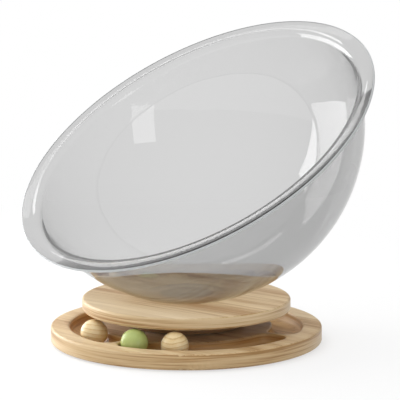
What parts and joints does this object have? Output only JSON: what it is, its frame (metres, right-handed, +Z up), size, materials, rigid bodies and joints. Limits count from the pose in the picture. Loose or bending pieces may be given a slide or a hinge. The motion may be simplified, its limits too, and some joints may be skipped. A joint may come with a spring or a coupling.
{
  "type": "capsule cat bed",
  "caption": "Clear capsule cat bed: a wide-rimmed round bowl leaning on a wooden turntable above a tray with captive play balls.",
  "frame": {"origin": "the turntable's axis at the floor, in the lower face of the middle anti-slip pad", "axes": "+Z up along the turntable's axis, -Y the way that the bowl opens"},
  "size_m": [0.4274, 0.3604, 0.3421],
  "materials": {
    "clear_acrylic": "clear, polished, thermoformed sheet",
    "clear_bond": "clear bonding foam",
    "beech": "pale strip-glued wood, clear matt lacquer",
    "beech_plywood": "pale plywood, unlacquered",
    "plain_ball_wood": "turned wood, smooth",
    "green_lacquer": "turned wood, gloss green lacquer",
    "zinc_steel": "bright zinc plating",
    "bearing_aluminium": "turned aluminium",
    "bearing_steel": "polished bearing steel",
    "cage_nylon": "natural nylon",
    "rubber_pad": "matt anti-slip rubber"
  },
  "bodies": {
    "tray": {"ball_tray": "beech", "bearing_outer_ring": "bearing_aluminium", "outer_ring_screws": "zinc_steel", "screw_washers": "zinc_steel", "anti_slip_pads": "rubber_pad"},
    "turntable": {"capsule_bowl": "clear_acrylic", "seat_pad": "clear_bond", "turntable_disc": "beech", "spacer_disc": "beech_plywood", "spacer_screws": "zinc_steel", "bearing_inner_ring": "bearing_aluminium", "inner_ring_screws": "zinc_steel"},
    "ball_train": {"bearing_balls": "bearing_steel", "ball_cage": "cage_nylon"},
    "left_play_ball": {"left_ball": "plain_ball_wood"},
    "green_play_ball": {"green_ball": "green_lacquer"},
    "right_play_ball": {"right_ball": "plain_ball_wood"}
  },
  "joints": [
    {"name": "turntable_spin", "type": "hinge", "parent": "tray", "child": "turntable", "pos_m": [0, 0, 0.02325], "axis": [0, 0, 1], "continuous": true},
    {"name": "cage_spin", "type": "hinge", "parent": "tray", "child": "ball_train", "pos_m": [0, 0, 0.02325], "axis": [0, 0, 1], "continuous": true},
    {"name": "left_ball_roll", "type": "hinge", "parent": "tray", "child": "left_play_ball", "pos_m": [0, 0, 0.0198], "axis": [0, 0, 1], "range_deg": [-65, 14.6]},
    {"name": "green_ball_roll", "type": "hinge", "parent": "tray", "child": "green_play_ball", "pos_m": [0, 0, 0.0198], "axis": [0, 0, 1], "range_deg": [-0.5, 3.9]},
    {"name": "right_ball_roll", "type": "hinge", "parent": "tray", "child": "right_play_ball", "pos_m": [0, 0, 0.0198], "axis": [0, 0, 1], "range_deg": [-3.9, 59.1]}
  ],
  "couplings": [
    {"joint": "cage_spin", "follows": "turntable_spin", "ratio": 0.484}
  ]
}
